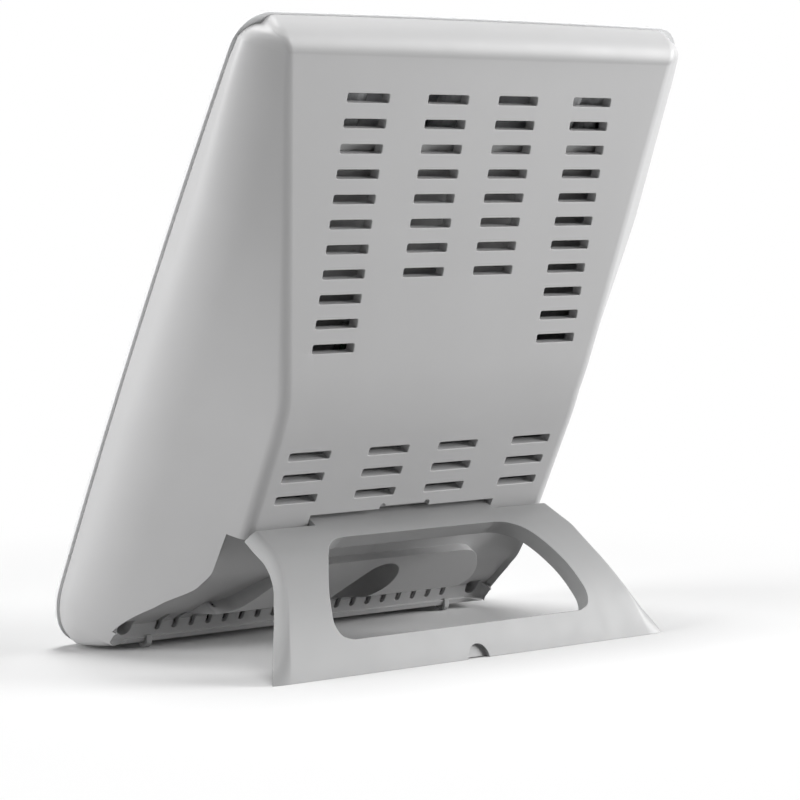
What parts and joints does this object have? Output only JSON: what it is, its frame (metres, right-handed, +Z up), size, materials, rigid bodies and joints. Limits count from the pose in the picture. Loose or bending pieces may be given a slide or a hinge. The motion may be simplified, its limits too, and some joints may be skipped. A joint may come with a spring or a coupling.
{
  "type": "light therapy lamp",
  "caption": "Flat light box with a white front frame, a vented grey rear shell and a fold-out stand with a handle opening.",
  "frame": {"origin": "middle of the bounding box on the floor, with the stand open", "axes": "+Z up, the lit front faces -Y and leans back 28 degrees, +X along the hinge"},
  "size_m": [0.3996, 0.2398, 0.4235],
  "materials": {
    "shell_grey": "fine-grained light grey moulded plastic",
    "stand_grey": "fine-grained light grey moulded plastic",
    "frame_white": "smooth white moulded plastic",
    "diffuser_white": "satin opal acrylic",
    "reflector_white": "white painted sheet",
    "tube_glass": "opal coated glass tube",
    "base_plastic": "off-white plastic",
    "steel": "plain zinc-plated steel",
    "brass": "plain brass",
    "board_green": "green circuit board",
    "dark_plastic": "black plastic",
    "foot_rubber": "dark grey rubber",
    "washer_nylon": "grey nylon"
  },
  "bodies": {
    "case": {"ballast_board": "board_green", "ballast_capacitor": "dark_plastic", "ballast_chassis": "steel", "ballast_choke": "dark_plastic", "case_screw_left": "steel", "case_screw_right": "steel", "diffuser_panel": "diffuser_white", "foot_left": "foot_rubber", "foot_right": "foot_rubber", "front_frame": "frame_white", "hinge_pin_left": "steel", "hinge_pin_right": "steel", "hinge_washer_left": "washer_nylon", "hinge_washer_right": "washer_nylon", "inlet_pin_left": "brass", "inlet_pin_right": "brass", "lamp_1_base": "base_plastic", "lamp_1_clip": "steel", "lamp_1_glass": "tube_glass", "lamp_1_socket": "base_plastic", "lamp_2_base": "base_plastic", "lamp_2_clip": "steel", "lamp_2_glass": "tube_glass", "lamp_2_socket": "base_plastic", "lamp_3_base": "base_plastic", "lamp_3_clip": "steel", "lamp_3_glass": "tube_glass", "lamp_3_socket": "base_plastic", "power_inlet": "dark_plastic", "rear_cover": "shell_grey", "reflector": "reflector_white", "switch_body": "dark_plastic", "terminal_block": "base_plastic"},
    "stand": {"stand": "stand_grey"},
    "button": {"power_button": "frame_white"}
  },
  "joints": [
    {"name": "stand_fold", "type": "hinge", "parent": "case", "child": "stand", "pos_m": [0, 0.02152, 0.0876], "axis": [1, 0, 0], "range_deg": [-88, 0]},
    {"name": "power_press", "type": "slide", "parent": "case", "child": "button", "axis": [0, 0.8829, -0.4695], "range_m": [0, 0.002], "stiffness_N_per_m": 600, "springref_m": -0.0005}
  ]
}
